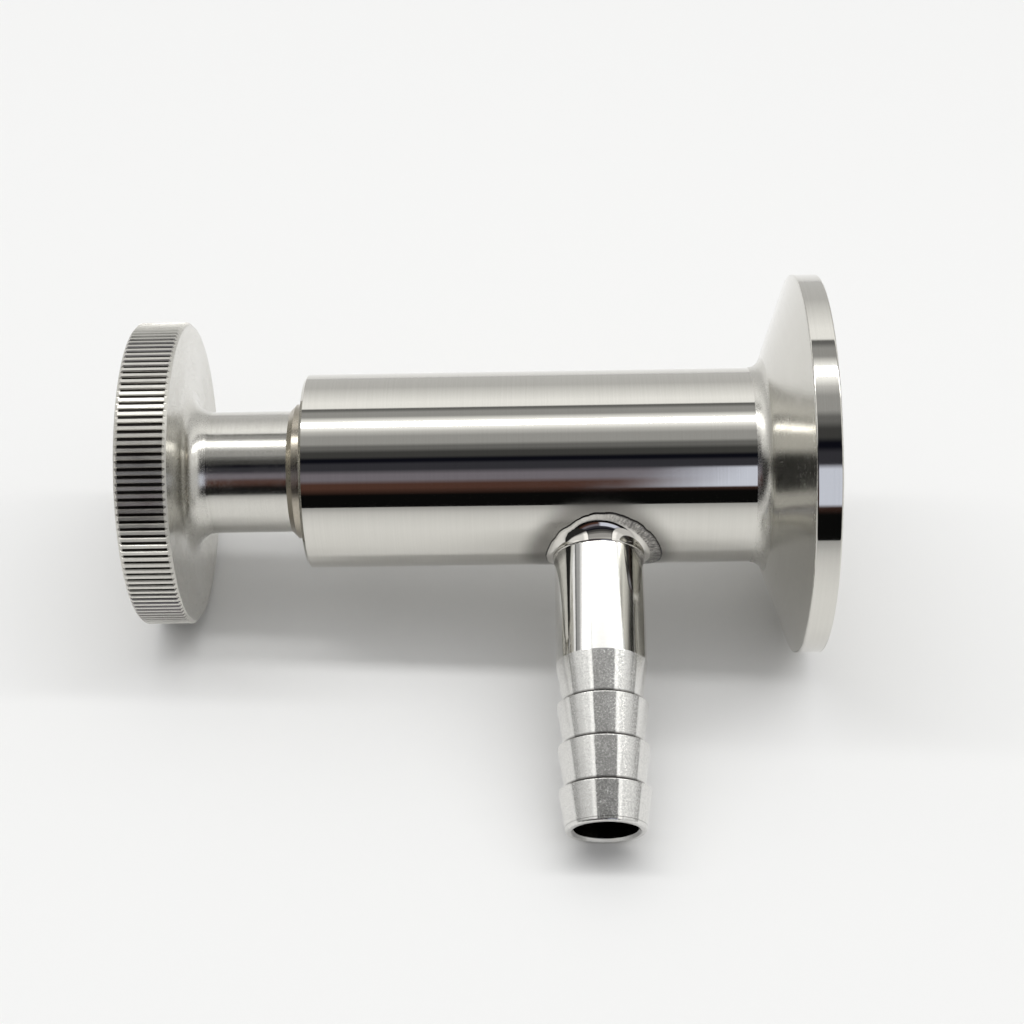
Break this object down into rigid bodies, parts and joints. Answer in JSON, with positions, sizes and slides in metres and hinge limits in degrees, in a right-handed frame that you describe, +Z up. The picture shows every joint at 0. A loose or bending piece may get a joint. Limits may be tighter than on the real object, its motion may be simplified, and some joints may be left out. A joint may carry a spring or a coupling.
{
  "type": "sanitary sampling valve",
  "caption": "Polished steel sampling valve with a clamp ferrule, a tube-shaped body, a knurled handwheel on a screwed spindle and a hose barb outlet.",
  "frame": {"origin": "centre of the clamp ferrule's sealing face", "axes": "+X out of the ferrule's sealing face, along the valve's axis; the handwheel is at -X; +Z up, so that the hose barb points down along -Z; Y across"},
  "size_m": [0.09, 0.0506, 0.0758],
  "materials": {
    "polished_steel": "polished",
    "turned_steel": "fine turned",
    "handwheel_steel": "fine turned and knurled",
    "ground_weld": "ground matte",
    "bronze": "machined",
    "white_ptfe": "matte",
    "black_rubber": "matte"
  },
  "bodies": {
    "valve_body": {"clamp_ferrule": "turned_steel", "barrel": "polished_steel", "hose_barb": "polished_steel", "outlet_weld": "ground_weld", "gland_bush": "turned_steel", "gland_oring": "black_rubber", "neck_wiper": "white_ptfe", "stop_washer": "white_ptfe", "drive_nut": "bronze"},
    "plunger_body": {"nose_cap": "polished_steel", "seat_ring": "white_ptfe", "plunger": "turned_steel", "plunger_oring_front": "black_rubber", "plunger_oring_rear": "black_rubber", "swivel_pins": "turned_steel"},
    "handwheel_body": {"handwheel": "handwheel_steel", "spindle": "turned_steel", "spindle_pin": "turned_steel", "thrust_washer": "white_ptfe"}
  },
  "joints": [
    {"name": "plunger_travel", "type": "slide", "parent": "valve_body", "child": "plunger_body", "axis": [-1, 0, 0], "range_m": [0, 0.00525]},
    {"name": "handwheel_turn", "type": "hinge", "parent": "plunger_body", "child": "handwheel_body", "pos_m": [-0.0417, 0, 0], "axis": [-1, 0, 0], "range_deg": [0, 1080]}
  ],
  "couplings": [
    {"joint": "handwheel_turn", "follows": "plunger_travel", "rad_per_m": 3590.4}
  ]
}
